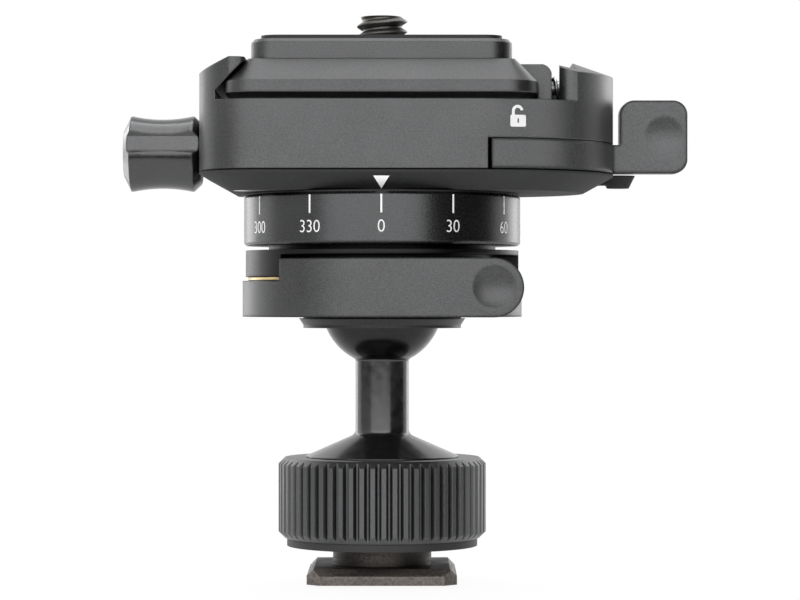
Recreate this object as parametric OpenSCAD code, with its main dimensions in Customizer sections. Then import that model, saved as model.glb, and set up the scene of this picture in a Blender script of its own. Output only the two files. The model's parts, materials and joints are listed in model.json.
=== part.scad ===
// Reverse ball head: a shoe foot with a lock wheel carries a ball, and the head above it
// holds the ball lock, a panoramic base and a quick-release clamp with its camera plate.
// Millimetres. X runs right, Y away from the viewer, Z up along the stem. The origin is the
// middle of the foot's underside.

/* [Shoe foot and wheel] */
// Width of the square shoe foot
foot_w = 18.6; // [17.6:0.1:19]
// Thickness of the foot plate
foot_t = 2; // [1.8:0.05:2.2]
// Chamfer round the top edge of the foot
foot_chamfer = 0.9; // [0.4:0.1:1.2]
// Length clipped off each corner of the foot
foot_clip = 2.2; // [1:0.1:3]
// Radius of the neck above the foot
neck_r = 6.2; // [5.9:0.05:6.3]
// Free height between the foot and the pressure ring
shoe_gap = 2.3; // [2:0.1:3]
// Radius of the pressure ring
press_ring_r = 12; // [10:0.1:12.8]
// Thickness of the pressure ring
press_ring_t = 1; // [0.8:0.1:1.6]
// Radius over the wheel's ridges
wheel_r = 13.07; // [12.9:0.1:15]
// Height of the wheel
wheel_h = 10.1; // [8:0.1:13]
// Number of ridges round the wheel
wheel_ridges = 60; // [40:1:72]
// Depth of the grooves between the ridges
ridge_depth = 0.55; // [0.3:0.05:0.8]
// Chamfer on the wheel's rims
wheel_chamfer = 0.8; // [0.5:0.1:1.2]
// Radius of the threaded post inside the wheel
post_r = 5; // [4:0.1:5.4]
// Downward travel of the wheel
wheel_travel = 1; // [0.6:0.1:1.5]

/* [Ball and stem] */
// Radius of the flare that stands on the post
flare_r = 9.6; // [8:0.1:11]
// Height of the flare
flare_h = 2.9; // [2:0.1:4]
// Radius of the stem
stem_r = 3.36; // [3:0.02:3.6]
// Height of the ball's centre above the flare's base
stem_h = 19.1; // [17.5:0.1:24]
// Radius of the ball
ball_r = 7.65; // [7.5:0.05:7.8]
// Radius of the stud that screws into the post
stem_stud_r = 2.5; // [2:0.1:3]
// Radius of the spigot inside the ball
ball_spigot_r = 2; // [1.5:0.1:2.5]

/* [Ball lock] */
// Radius of the socket ring's thread
socket_r = 9.95; // [9.7:0.05:10.4]
// Depth of the socket ring's lower face below the ball's centre
socket_drop = 2.9; // [2.7:0.1:3.4]
// Height of the socket ring's bevelled flange
socket_flange_h = 1.2; // [0.8:0.1:1.5]
// Radius of the flange at its top
socket_flange_r = 10.5; // [10.45:0.05:11.5]
// Inward lean of the flange's bevel
socket_bevel = 0.8; // [0.3:0.1:1.2]
// Radius of the lever ring
lever_ring_r = 17.6; // [17.4:0.1:19]
// Height of the lever ring
lever_ring_h = 4.5; // [4.2:0.1:5]
// Height of the lever panel
panel_h = 7.2; // [6.8:0.1:7.3]
// Thickness of the lever panel
panel_t = 3; // [2.4:0.1:3.1]
// Reach of the panel's round end, to its centre
panel_reach = 13.6; // [11:0.1:16]
// Angle from the front to the panel's left end
panel_start = 46; // [40:1:55]
// Radius of the finger dimple
dimple_r = 2.6; // [1.5:0.1:3]
// Depth of the finger dimple
dimple_depth = 0.6; // [0.3:0.1:1]
// Turn of the lever from locked to free
lever_turn = 45; // [30:1:50]
// Slit between lever ring and housing, filled by the brass washer
washer_slit = 0.5; // [0.4:0.05:0.8]
// Radius of the brass washer
washer_r = 16.9; // [16:0.1:17.1]

/* [Housing and panoramic base] */
// Radius of the housing
housing_r = 17.2; // [17.15:0.05:18]
// Height of the housing's band
housing_h = 3.3; // [3.2:0.1:4.5]
// Radius of the skirt inside the lever ring
skirt_r = 13.6; // [13:0.1:13.8]
// Thickness of the rim above the lever panel
rim_t = 0.6; // [0.4:0.05:0.7]
// Dark gap between housing and scale ring
spigot_gap = 0.6; // [0.3:0.1:1]
// Radius of the spigot in that gap
spigot_r = 14.3; // [13:0.1:15]
// Radius of the scale ring
scale_r = 17.41; // [17.4:0.05:18.5]
// Height of the scale ring
scale_h = 6.3; // [6:0.1:8]
// Radius of the pan spindle
spindle_r = 4.5; // [4:0.1:4.8]
// Gap between scale ring and base plate, held by the glide washer
glide_gap = 0.3; // [0.25:0.05:0.6]
// Wall of the pan bush
bush_wall = 1; // [0.8:0.1:1.2]

/* [Clamp] */
// Distance from the stem axis to the clamp's left end
clamp_left = 22.4; // [22.3:0.1:25]
// Distance from the stem axis to the centre of the round right end
end_x = 11.1; // [11:0.1:12]
// Half the depth of the clamp, and the radius of its round end
clamp_half_d = 18; // [17.9:0.1:19]
// Radius of the left corners
corner_r = 8; // [5:0.1:9]
// Thickness of the base plate
base_t = 2.4; // [2.3:0.1:3.2]
// Inset of the base plate's underside
base_inset = 3.7; // [2.5:0.1:4]
// Height of the plain lip above the base plate's bevel
base_lip = 0.35; // [0.2:0.05:0.6]
// Height of the clamp's floor above the base plate
floor_h = 8.5; // [8.3:0.1:10]
// Height of the left jaw above the floor
jaw_h = 5.1; // [4.8:0.1:6]
// Height of the right upright above the floor
upright_h = 5.3; // [5:0.1:6]
// Height of the movable jaw above the floor
slide_jaw_h = 4.6; // [4.4:0.1:4.75]
// Thickness of the movable jaw behind the dovetail
slide_jaw_t = 1.7; // [1.4:0.1:1.8]
// Length of the movable jaw
slide_jaw_l = 22; // [14:0.5:22]
// Travel of the movable jaw
jaw_travel = 2.5; // [2.4:0.1:2.6]
// Height of the lever slot
slot_h = 3.8; // [3.4:0.1:4]
// Turn of the quick-release lever
release_turn = 50; // [40:1:52]

/* [Quick-release lever and pan lock] */
// Width of the thumb paddle
paddle_w = 8.5; // [7:0.1:10]
// Height of the thumb paddle
paddle_h = 9.2; // [7:0.1:10]
// Thickness of the thumb paddle
paddle_t = 3; // [2.4:0.1:4]
// Corner radius of the thumb paddle
paddle_corner = 1.8; // [1:0.1:2.5]
// Gap between the paddle and the clamp's round end
paddle_gap = 0.8; // [0.5:0.1:1.5]
// Radius of the pan lock knob
knob_r = 4.77; // [4.2:0.05:5]
// Length of the pan lock knob
knob_l = 9.75; // [8:0.05:12]
// Chamfer on the knob's rims
knob_chamfer = 0.9; // [0.5:0.1:1.2]
// Depth of the knob's three flutes
flute_depth = 0.75; // [0.4:0.05:1]
// Height of the knob's axis above the base plate
knob_rise = 2.6; // [2.4:0.1:3]
// Gap between the knob and the clamp
knob_gap = 0.35; // [0.2:0.05:0.8]
// Radius of the pan lock shaft
lock_shaft_r = 2; // [1.6:0.1:2.1]

/* [Camera plate] */
// Width of the dovetail at its base
plate_w = 38; // [37.8:0.1:38.2]
// Depth of the plate
plate_d = 38; // [34:0.5:40]
// Height of the plate's lower band
plate_band_h = 1.4; // [1.3:0.05:1.6]
// Height and inset of the 45 degree dovetail
dovetail = 2.8; // [2.6:0.05:2.9]
// Height of the block above the dovetail
block_h = 2.5; // [2:0.05:4]
// Inset of the block from the dovetail's top
block_inset = 0.3; // [0.2:0.05:0.8]
// Thickness of the pad
pad_t = 0.5; // [0.3:0.05:0.8]
// Radius of the camera screw's thread
screw_r = 3.175; // [3.1:0.005:3.2]
// Height of the screw above the pad
screw_out = 3.5; // [3:0.1:5.5]
// Clear height between the plate and the clamp's floor
plate_lift = 0.7; // [0.4:0.05:1]

/* [Fits] */
// Radial clearance of turning and sliding fits
fit = 0.05; // [0.02:0.01:0.09]
// Clearance between the ball and its seats
ball_fit = 0.08; // [0.05:0.01:0.1]
// Clearance between the dovetail and the jaws
dovetail_fit = 0.1; // [0.05:0.01:0.15]
// Flat clearance between stacked pieces
stack_gap = 0.1; // [0.05:0.01:0.12]

/* [Hidden] */
$fn = 96;

// Overrun of a cut past the face that it opens
over = 1;

// Heights of the lower group
press_z = foot_t + shoe_gap;
wheel_z = press_z + press_ring_t;
neck_step = 0.4;
neck_top_z = wheel_z + neck_step;
flare_z = wheel_z + wheel_h + stack_gap;
ball_z = flare_z + stem_h;
ball_flat_z = ball_z - sqrt(pow(ball_r, 2) - pow(stem_r, 2));
stud_l = 8;

// Heights of the ball lock
socket_z = ball_z - socket_drop;
lever_z = socket_z + socket_flange_h + 2 * stack_gap;
lever_top_z = lever_z + lever_ring_h;
band_z = lever_top_z + washer_slit;
band_top_z = band_z + housing_h;
skirt_rise = 2.8;
skirt_z = lever_z + skirt_rise;
socket_rise = 0.7;
socket_top_z = skirt_z + socket_rise;
key_top_z = socket_top_z + stack_gap;
key_w = 2;
key_depth = 0.5;
cup_z = key_top_z + stack_gap;
spring_t = 0.5;
ball_room = 0.35;
cup_hole_r = 3.8;
web_z = ball_z + ball_r + ball_room;
spring_z = web_z - stack_gap - spring_t;
cup_top_z = spring_z - stack_gap;
bore_r = socket_r + fit;
panel_in_r = lever_ring_r - panel_t;
panel_ease = 0.6;
skirt_room = 0.8;
panel_y = 0.06 - lever_ring_r;
cutaway_r = panel_in_r - 2 * stack_gap;
cutaway_room = 6;
cutaway_end = acos(panel_in_r / (housing_r + stack_gap)) + lever_turn + cutaway_room;

// Heights of the panoramic base
scale_z = band_top_z + spigot_gap;
scale_top_z = scale_z + scale_h;
web_t = 1.2;
spigot_top_z = max(web_z, scale_z) + web_t;
scale_floor_t = 1.7;
scale_floor_z = spigot_top_z + scale_floor_t;
shank_r = 3;
flange_r = 9;
flange_t = 2;
base_z = scale_top_z + glide_gap;
clamp_z = base_z + base_t;
floor_z = clamp_z + floor_h;
retainer_r = 6;
retainer_t = 0.8;
retainer_drop = 3;
retainer_z = floor_z - retainer_drop;
retainer_stud_r = 1.5;
spindle_top_z = retainer_z + stack_gap;
bush_r = spindle_r + fit + bush_wall;
bush_rise = (knob_rise - lock_shaft_r) / 2;
press_gap = 0.02;
bush_top_z = clamp_z + bush_rise;

// Clamp places, which follow the plate's width
plate_nominal = 38;
plate_growth = (plate_w - plate_nominal) / 2;
clamp_left_x = clamp_left + plate_growth;
clamp_end_x = end_x + plate_growth;
plate_z = floor_z + plate_lift;
dove_z = plate_z + plate_band_h;
dove_top_z = dove_z + dovetail;
pad_z = dove_top_z + block_h;
plate_hw = plate_w / 2;
block_w = plate_w - 2 * dovetail - 2 * block_inset;
block_d = plate_d - 2 * dovetail - 2 * block_inset;
camera_head_r = 5.4;
clip_t = 0.6;
clip_depth = 0.55;
clip_r = screw_r + 1.5;
clip_pocket = 0.9;
clip_z = pad_z - clip_pocket + stack_gap;
jaw_face_x = plate_hw + dovetail_fit * sqrt(2);
jaw_back_x = jaw_face_x + slide_jaw_t;
jaw_slit = 0.9;
upright_x = jaw_back_x + jaw_slit;
pocket_room = 0.5;
pocket_x = jaw_back_x + jaw_travel + pocket_room;
jaw_side_room = 0.3;
lip_x = plate_hw - dovetail * 0.88;
jaw_end_r = 1.4;
jaw_end_ease = 0.03;
slot_angle = 84.5;
lever_start = -83;
lever_end = 30;
follower_r = 1.25;
follower_x = jaw_face_x + slide_jaw_t / 2 - 1.2;
follower_rho = follower_x - clamp_end_x;
pivot_r = 2;
pivot_rise = 2.2;
hub_r = 4.4;
hub_room = 0.3;
lever_low_z = clamp_z + stack_gap;
lever_h = slot_h - 2 * stack_gap;
guide_r = 0.9;
guide_y = 6;
guide_seat = 0.6;
guide_z = dove_z - 0.15;
spring_r = 1.3;
spring_wire = 0.4;
spring_turns = 4;
spring_hole_r = spring_r + spring_wire / 2 + 0.2;
spring_seat = 1.6;
spring_seat_x = pocket_x + spring_seat;
knob_z = clamp_z + knob_rise;
knob_x = -clamp_left_x - knob_gap - knob_l;
shaft_seat = 2;
shoe_l = 2.4;
shoe_tip_x = -spindle_r - stack_gap;
screw_r_m25 = 1.25;
screw_head_r = 2.2;
screw_head_t = 1.2;
screw_grip = 5;
screw_spots = [[8.5, 11.5], [8.5, -11.5], [-16, 10.5], [-16, -10.5]];

// A slab with the clamp's outline, its sides leaning from inset_a below to inset_b above
module clamp_slab(z, h, inset_a = 0, inset_b = 0) {
    side = clamp_half_d - corner_r;
    left_x = corner_r - clamp_left_x;
    translate([clamp_end_x, 0, z])
        cylinder(h = h, r1 = clamp_half_d - inset_a, r2 = clamp_half_d - inset_b);
    for (s = [-1, 1])
        translate([left_x, s * side, z])
            cylinder(h = h, r1 = corner_r - inset_a, r2 = corner_r - inset_b);
    translate([left_x, 0, z])
        rotate([90, 0, 90])
            linear_extrude(clamp_end_x - left_x)
                polygon([
                    [inset_a - clamp_half_d, 0], [clamp_half_d - inset_a, 0],
                    [clamp_half_d - inset_b, h], [inset_b - clamp_half_d, h]]);
    translate([0, side, z])
        rotate([90, 0, 0])
            linear_extrude(2 * side)
                polygon([
                    [inset_a - clamp_left_x, 0], [left_x + over, 0],
                    [left_x + over, h], [inset_b - clamp_left_x, h]]);
}

// A rounded rectangular slab, w by d over its sides, leaning like clamp_slab
module plate_slab(w, d, r, z, h, inset_a = 0, inset_b = 0) {
    for (sx = [-1, 1], sy = [-1, 1])
        translate([sx * (w / 2 - r), sy * (d / 2 - r), z])
            cylinder(h = h, r1 = r - inset_a, r2 = r - inset_b);
    translate([r - w / 2, 0, z])
        rotate([90, 0, 90])
            linear_extrude(w - 2 * r)
                lean_profile(d / 2, h, inset_a, inset_b);
    translate([0, d / 2 - r, z])
        rotate([90, 0, 0])
            linear_extrude(d - 2 * r)
                lean_profile(w / 2, h, inset_a, inset_b);
}

module lean_profile(half, h, inset_a, inset_b) {
    polygon([
        [inset_a - half, 0], [half - inset_a, 0],
        [half - inset_b, h], [inset_b - half, h]]);
}

// A plain ring between two heights
module ring(r_in, r_out, z, h) {
    translate([0, 0, z])
        difference() {
            cylinder(h = h, r = r_out);
            translate([0, 0, -over])
                cylinder(h = h + 2 * over, r = r_in);
        }
}

// A pie-shaped prism about the Z axis, from angle a to angle b
module pie(r, a, b, z, h) {
    translate([0, 0, z])
        rotate([0, 0, a])
            rotate_extrude(angle = b - a)
                square([r, h]);
}

// The square foot with clipped corners, chamfered at the top edge
module foot_plate(h, inset_top) {
    side = foot_w / 2;
    intersection() {
        rotate([90, 0, 0])
            translate([0, 0, -side])
                linear_extrude(foot_w)
                    foot_profile(side, h, inset_top);
        rotate([90, 0, 90])
            translate([0, 0, -side])
                linear_extrude(foot_w)
                    foot_profile(side, h, inset_top);
        rotate([0, 0, 45])
            translate([-side * sqrt(2) + foot_clip / 2, -side * sqrt(2) + foot_clip / 2, 0])
                cube([2 * side * sqrt(2) - foot_clip, 2 * side * sqrt(2) - foot_clip, h]);
    }
}

module foot_profile(side, h, inset_top) {
    polygon([
        [-side, 0], [side, 0], [side, h - inset_top],
        [side - inset_top, h], [inset_top - side, h], [-side, h - inset_top]]);
}

module shoe_foot() {
    color("#3b3733")
        difference() {
            union() {
                foot_plate(foot_t, foot_chamfer);
                cylinder(h = neck_top_z, r = neck_r);
                cylinder(h = flare_z, r = post_r);
            }
            translate([0, 0, flare_z - stud_l - stack_gap])
                cylinder(h = stud_l + over, r = stem_stud_r + fit);
        }
}

module shoe_pressure_ring() {
    color("#1d1d1f")
        ring(neck_r + fit, press_ring_r, press_z, press_ring_t);
}

// One ridge and groove of the wheel as four points of its outline
function ridge_points(i) =
    let (step = 360 / wheel_ridges, root_r = wheel_r - ridge_depth)
    [for (p = [[wheel_r, 0], [wheel_r, 0.42], [root_r, 0.62], [root_r, 0.8]])
        p[0] * [cos((i + p[1]) * step), sin((i + p[1]) * step)]];

module shoe_lock_wheel() {
    pocket_h = wheel_travel + neck_top_z - wheel_z + stack_gap;
    color("#4a4a4c")
        difference() {
            intersection() {
                translate([0, 0, wheel_z])
                    linear_extrude(wheel_h)
                        polygon([for (i = [0 : wheel_ridges - 1]) each ridge_points(i)]);
                rotate_extrude()
                    polygon([
                        [0, wheel_z], [wheel_r - wheel_chamfer, wheel_z],
                        [wheel_r + stack_gap, wheel_z + wheel_chamfer + stack_gap],
                        [wheel_r + stack_gap, wheel_z + wheel_h - wheel_chamfer - stack_gap],
                        [wheel_r - wheel_chamfer, wheel_z + wheel_h], [0, wheel_z + wheel_h]]);
            }
            translate([0, 0, wheel_z - over])
                cylinder(h = wheel_h + 2 * over, r = post_r + fit);
            translate([0, 0, wheel_z - over])
                cylinder(h = pocket_h + over, r = neck_r + fit);
        }
}

module ball_stem() {
    color("#141416")
        rotate_extrude()
            polygon([
                [0, flare_z - stud_l], [stem_stud_r, flare_z - stud_l], [stem_stud_r, flare_z],
                [flare_r, flare_z], [flare_r, flare_z + 0.15], [stem_r, flare_z + flare_h],
                [stem_r, ball_flat_z], [ball_spigot_r, ball_flat_z],
                [ball_spigot_r, ball_z], [0, ball_z]]);
}

module ball() {
    color("#0e0e10")
        difference() {
            translate([0, 0, ball_z])
                sphere(r = ball_r);
            translate([0, 0, ball_z - ball_r - over])
                cylinder(h = ball_r + over + ball_flat_z + stack_gap - ball_z, r = ball_r);
            translate([0, 0, ball_z - ball_r - over])
                cylinder(h = ball_r + over + stack_gap, r = ball_spigot_r + fit);
        }
}

module ball_cup() {
    color("#e8e4d8")
        difference() {
            translate([0, 0, cup_z])
                cylinder(h = cup_top_z - cup_z, r = socket_r);
            translate([0, 0, ball_z])
                sphere(r = ball_r + ball_fit);
            translate([0, 0, ball_z])
                cylinder(h = 2 * ball_r, r = cup_hole_r);
        }
}

module cup_spring() {
    color("#8f8f92")
        rotate_extrude()
            polygon([
                [cup_hole_r + spring_t, spring_z + spring_t / 2], [socket_r - spring_t, spring_z],
                [socket_r - spring_t, spring_z + spring_t / 2],
                [cup_hole_r + spring_t, spring_z + spring_t]]);
}

module socket_ring() {
    key_cut = key_depth + stack_gap;
    color("#19191b")
        difference() {
            union() {
                translate([0, 0, socket_z])
                    cylinder(
                        h = socket_flange_h,
                        r1 = socket_flange_r - socket_bevel,
                        r2 = socket_flange_r);
                translate([0, 0, socket_z])
                    cylinder(h = socket_top_z - socket_z, r = socket_r);
            }
            translate([0, 0, ball_z])
                sphere(r = ball_r + ball_fit);
            translate([0, 0, ball_z])
                cylinder(h = ball_r, r = ball_r + ball_fit);
            for (s = [-1, 1])
                translate([s * socket_r - key_cut, -key_w / 2 - fit, skirt_z - key_w / 2])
                    cube([2 * key_cut, key_w + 2 * fit, ball_r]);
        }
}

// The straight bar of the lever panel with its round end
module lever_bar() {
    end_r = panel_h / 2;
    translate([0, panel_y, lever_z])
        cube([panel_reach, panel_t, panel_h]);
    translate([panel_reach, panel_y, lever_z + end_r])
        rotate([-90, 0, 0])
            cylinder(h = panel_t, r = end_r);
}

// What is taken away above the ring, so that only the panel stands on it
module above_ring() {
    cut_h = panel_h;
    translate([0, 0, lever_top_z])
        cylinder(h = cut_h, r = panel_in_r);
    translate([0, panel_y + panel_t, lever_top_z])
        cube([2 * lever_ring_r, lever_ring_r, cut_h]);
    pie(2 * lever_ring_r, 0, 270 - panel_start + panel_ease, lever_top_z, cut_h);
}

module lock_lever_ring() {
    dimple_ball = (pow(dimple_r, 2) + pow(dimple_depth, 2)) / (2 * dimple_depth);
    color("#232325")
        difference() {
            union() {
                translate([0, 0, lever_z])
                    cylinder(h = panel_h, r = lever_ring_r);
                lever_bar();
            }
            above_ring();
            translate([0, 0, lever_z - over])
                cylinder(h = panel_h + 2 * over, r = bore_r);
            translate([0, 0, skirt_z - stack_gap])
                cylinder(h = panel_h, r = skirt_r + fit);
            translate([
                panel_reach, panel_y + dimple_depth - dimple_ball,
                lever_z + panel_h / 2])
                sphere(r = dimple_ball);
        }
}

module brass_thrust_washer() {
    color("#b08a3e")
        difference() {
            ring(skirt_r + skirt_room, washer_r, lever_top_z + fit, washer_slit - 2 * fit);
            pie(2 * washer_r, -90 - panel_start, cutaway_end - 90, lever_top_z - over, 2 * over);
        }
}

module ball_housing() {
    color("#1c1c1e") {
        difference() {
            union() {
                translate([0, 0, skirt_z])
                    cylinder(h = band_z - skirt_z + over, r = skirt_r);
                translate([0, 0, band_z])
                    cylinder(h = housing_h, r = housing_r);
                translate([0, 0, band_top_z])
                    cylinder(h = spigot_top_z - band_top_z, r = spigot_r);
            }
            translate([0, 0, skirt_z - over])
                cylinder(h = web_z - skirt_z + over, r = bore_r);
            translate([0, 0, web_z - over])
                cylinder(h = spigot_top_z - web_z + 2 * over, r = shank_r + fit);
            difference() {
                pie(
                    2 * housing_r, -90 - panel_start, cutaway_end - 90,
                    band_z - over, housing_h - rim_t + over);
                translate([0, 0, band_z - 2 * over])
                    cylinder(h = housing_h + 2 * over, r = cutaway_r);
            }
        }
        housing_keys();
    }
}

// Two keys inside the skirt that keep the socket ring from turning
module housing_keys() {
    for (s = [-1, 1])
        intersection() {
            translate([s * bore_r - key_depth, -key_w / 2, skirt_z])
                cube([2 * key_depth, key_w, key_top_z - skirt_z]);
            translate([0, 0, skirt_z])
                cylinder(h = key_top_z - skirt_z, r = bore_r + key_depth);
        }
}

module scale_ring() {
    edge = 0.3;
    color("#1f1f21")
        difference() {
            rotate_extrude()
                polygon([
                    [0, scale_z], [scale_r - edge, scale_z], [scale_r, scale_z + edge],
                    [scale_r, scale_top_z - edge], [scale_r - edge, scale_top_z],
                    [0, scale_top_z]]);
            translate([0, 0, scale_z - over])
                cylinder(h = spigot_top_z - scale_z + over, r = spigot_r + fit);
            translate([0, 0, scale_z])
                cylinder(h = scale_h, r = shank_r + fit);
            translate([0, 0, scale_floor_z])
                cylinder(h = scale_h, r = spigot_r + 0.3);
        }
}

module pan_spindle() {
    color("#77777a")
        difference() {
            union() {
                translate([0, 0, web_z])
                    cylinder(h = scale_floor_z - web_z, r = shank_r);
                translate([0, 0, scale_floor_z])
                    cylinder(h = flange_t, r = flange_r);
                translate([0, 0, scale_floor_z])
                    cylinder(h = spindle_top_z - scale_floor_z, r = spindle_r);
            }
            translate([0, 0, spindle_top_z - stud_l])
                cylinder(h = stud_l + over, r = retainer_stud_r + fit);
        }
}

module pan_glide_washer() {
    color("#2a2a2c")
        ring(spigot_r + 0.4, scale_r - 0.5, scale_top_z, glide_gap - fit);
}

module pan_retainer_washer() {
    color("#8a8a8d")
        ring(retainer_stud_r + fit, retainer_r, spindle_top_z, retainer_t);
}

module pan_retainer_screw() {
    head_z = spindle_top_z + retainer_t;
    head_r = 2.8;
    head_t = 1.8;
    hex_r = 1.3;
    hex_depth = 1.1;
    color("#5a5a5d")
        difference() {
            union() {
                translate([0, 0, head_z])
                    cylinder(h = head_t, r = head_r);
                translate([0, 0, spindle_top_z - stud_l + stack_gap])
                    cylinder(h = stud_l + retainer_t, r = retainer_stud_r);
            }
            translate([0, 0, head_z + head_t - hex_depth])
                cylinder(h = hex_depth + over, r = hex_r, $fn = 6);
        }
}

module pan_bush() {
    color("#a9854a")
        ring(spindle_r + fit, bush_r, base_z + fit, bush_top_z - base_z - fit);
}

module base_plate() {
    bevel_h = base_t - base_lip;
    color("#262628")
        difference() {
            union() {
                clamp_slab(base_z, bevel_h, base_inset, 0);
                clamp_slab(base_z + bevel_h, base_lip);
                lever_stop();
            }
            translate([0, 0, base_z - over])
                cylinder(h = base_t + 2 * over, r = bush_r + press_gap);
            translate([clamp_end_x, 0, base_z - over])
                cylinder(h = base_t + 2 * over, r = pivot_r + press_gap);
            for (p = screw_spots)
                translate([p[0], p[1], base_z - over]) {
                    cylinder(h = base_t + 2 * over, r = screw_r_m25 + fit);
                    cylinder(h = screw_head_t + over, r = screw_head_r + fit);
                }
        }
}

// The rounded lug of the base plate behind the thumb paddle
module lever_stop() {
    lug_r = 2.2;
    lug_out = 0.9;
    lug_y = 3.5;
    lug_h = 1.6;
    lug_lean = 0.8;
    arm_in = 4;
    arm_h = 1.2;
    rim_x = clamp_end_x + clamp_half_d;
    translate([rim_x + lug_out, lug_y, clamp_z - lug_h])
        cylinder(h = lug_h, r1 = lug_r - lug_lean, r2 = lug_r);
    translate([rim_x - arm_in, lug_y - lug_r + lug_lean, clamp_z - arm_h])
        cube([arm_in + lug_out, 2 * (lug_r - lug_lean), arm_h]);
}

module base_screws() {
    hex_r = 1;
    hex_depth = 0.7;
    color("#3c3c3e")
        for (p = screw_spots)
            translate([p[0], p[1], base_z]) {
                difference() {
                    cylinder(h = screw_head_t, r = screw_head_r);
                    translate([0, 0, -over])
                        cylinder(h = hex_depth + over, r = hex_r, $fn = 6);
                }
                cylinder(h = base_t + screw_grip, r = screw_r_m25);
            }
}

// Profile of the open channel between the jaws, in X and Z above the floor
module channel_profile() {
    rise = dove_z - floor_z;
    top = upright_h + over;
    slope_x = -jaw_face_x;
    foot_x = slope_x - 1;
    polygon([
        [foot_x, 0], [upright_x, 0], [upright_x, top], [-lip_x, top],
        [-lip_x, rise + jaw_face_x - lip_x], [foot_x, rise - 1]]);
}

// Wedge that slopes the outer top of the left jaw
module left_jaw_slope() {
    flat_x = lip_x + 1.9;
    drop = 1.7;
    translate([0, clamp_half_d + over, floor_z])
        rotate([90, 0, 0])
            linear_extrude(2 * clamp_half_d + 2 * over)
                polygon([
                    [-flat_x, jaw_h], [-clamp_left_x, jaw_h - drop],
                    [-clamp_left_x - over, jaw_h - drop - 0.4],
                    [-clamp_left_x - over, jaw_h + 2 * over], [-lip_x + over, jaw_h + 2 * over],
                    [-lip_x + over, jaw_h]]);
}

// Cone that slopes the outer top of the round end
module upright_slope() {
    slope_w = 4.8;
    flat_r = clamp_half_d - slope_w;
    drop = 2.1;
    translate([clamp_end_x, 0, floor_z])
        rotate_extrude()
            polygon([
                [flat_r, upright_h], [clamp_half_d + over, upright_h - drop],
                [clamp_half_d + over, upright_h + over], [flat_r, upright_h + over]]);
}

// Rounds the upright corner between a jaw's inner wall and the outline's arc about (cx, cy)
module jaw_end_round(wall_x, way, cx, cy, arc_r) {
    r = jaw_end_r;
    round_x = wall_x + way * r;
    reach = arc_r - r;
    run = round_x - cx;
    drop = sqrt(pow(reach, 2) - pow(run, 2));
    round_y = cy - drop;
    edge = [cx + (arc_r + over) * run / reach, cy - (arc_r + over) * drop / reach];
    translate([0, 0, floor_z])
        linear_extrude(upright_h + over)
            difference() {
                polygon([
                    [round_x, round_y], [wall_x - way * over, round_y],
                    [wall_x - way * over, edge[1] - 2 * r], [edge[0], edge[1] - 2 * r], edge]);
                translate([round_x, round_y])
                    circle(r = r + jaw_end_ease);
            }
}

// Bores for the spindle, its retainer, the pan lock and the base screws
module clamp_bores() {
    translate([0, 0, clamp_z - over])
        cylinder(h = floor_h + 2 * over, r = spindle_r + fit);
    translate([0, 0, clamp_z - over])
        cylinder(h = bush_top_z - clamp_z + over, r = bush_r + press_gap);
    translate([0, 0, retainer_z])
        cylinder(h = floor_h, r = retainer_r + 2 * stack_gap);
    translate([-clamp_left_x - over, 0, knob_z])
        rotate([0, 90, 0])
            cylinder(h = clamp_left_x + over, r = lock_shaft_r + fit);
    for (p = screw_spots)
        translate([p[0], p[1], clamp_z - over])
            cylinder(h = screw_grip + 2 * over, r = screw_r_m25 + fit);
}

// Slot, pivot and jaw guides of the quick-release side
module release_cuts() {
    translate([clamp_end_x, 0, 0]) {
        pie(2 * clamp_half_d, -slot_angle, slot_angle, clamp_z - over, slot_h + over);
        translate([0, 0, clamp_z - over])
            rotate([0, 0, 180])
                cylinder(h = slot_h + over, r = hub_r + hub_room);
        translate([0, 0, clamp_z])
            cylinder(h = slot_h + pivot_rise + 2 * stack_gap, r = pivot_r + fit);
    }
    translate([0, 0, clamp_z + slot_h - over])
        linear_extrude(floor_h)
            follower_slot(follower_r + 2 * stack_gap);
    translate([upright_x - over, -slide_jaw_l / 2 - jaw_side_room, floor_z])
        cube([pocket_x - upright_x + over, slide_jaw_l + 2 * jaw_side_room, upright_h + over]);
    for (s = [-1, 1])
        translate([pocket_x - over, s * guide_y, guide_z])
            rotate([0, 90, 0]) {
                cylinder(h = spring_seat_x - pocket_x + over, r = spring_hole_r);
                cylinder(h = spring_seat_x - pocket_x + over + guide_seat, r = guide_r);
            }
}

module follower_slot(r) {
    translate([follower_x, 0])
        circle(r = r);
    translate([follower_x + jaw_travel, 0])
        circle(r = r);
    translate([follower_x, -r])
        square([jaw_travel, 2 * r]);
}

module clamp_body() {
    color("#2b2b2d")
        difference() {
            clamp_slab(clamp_z, floor_h + upright_h);
            translate([0, clamp_half_d + over, floor_z])
                rotate([90, 0, 0])
                    linear_extrude(2 * clamp_half_d + 2 * over)
                        channel_profile();
            left_jaw_slope();
            upright_slope();
            for (back = [0, 1])
                mirror([0, back, 0]) {
                    jaw_end_round(upright_x, 1, clamp_end_x, 0, clamp_half_d);
                    jaw_end_round(
                        -lip_x, -1, corner_r - clamp_left_x, corner_r - clamp_half_d, corner_r);
                }
            clamp_bores();
            release_cuts();
        }
}

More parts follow.
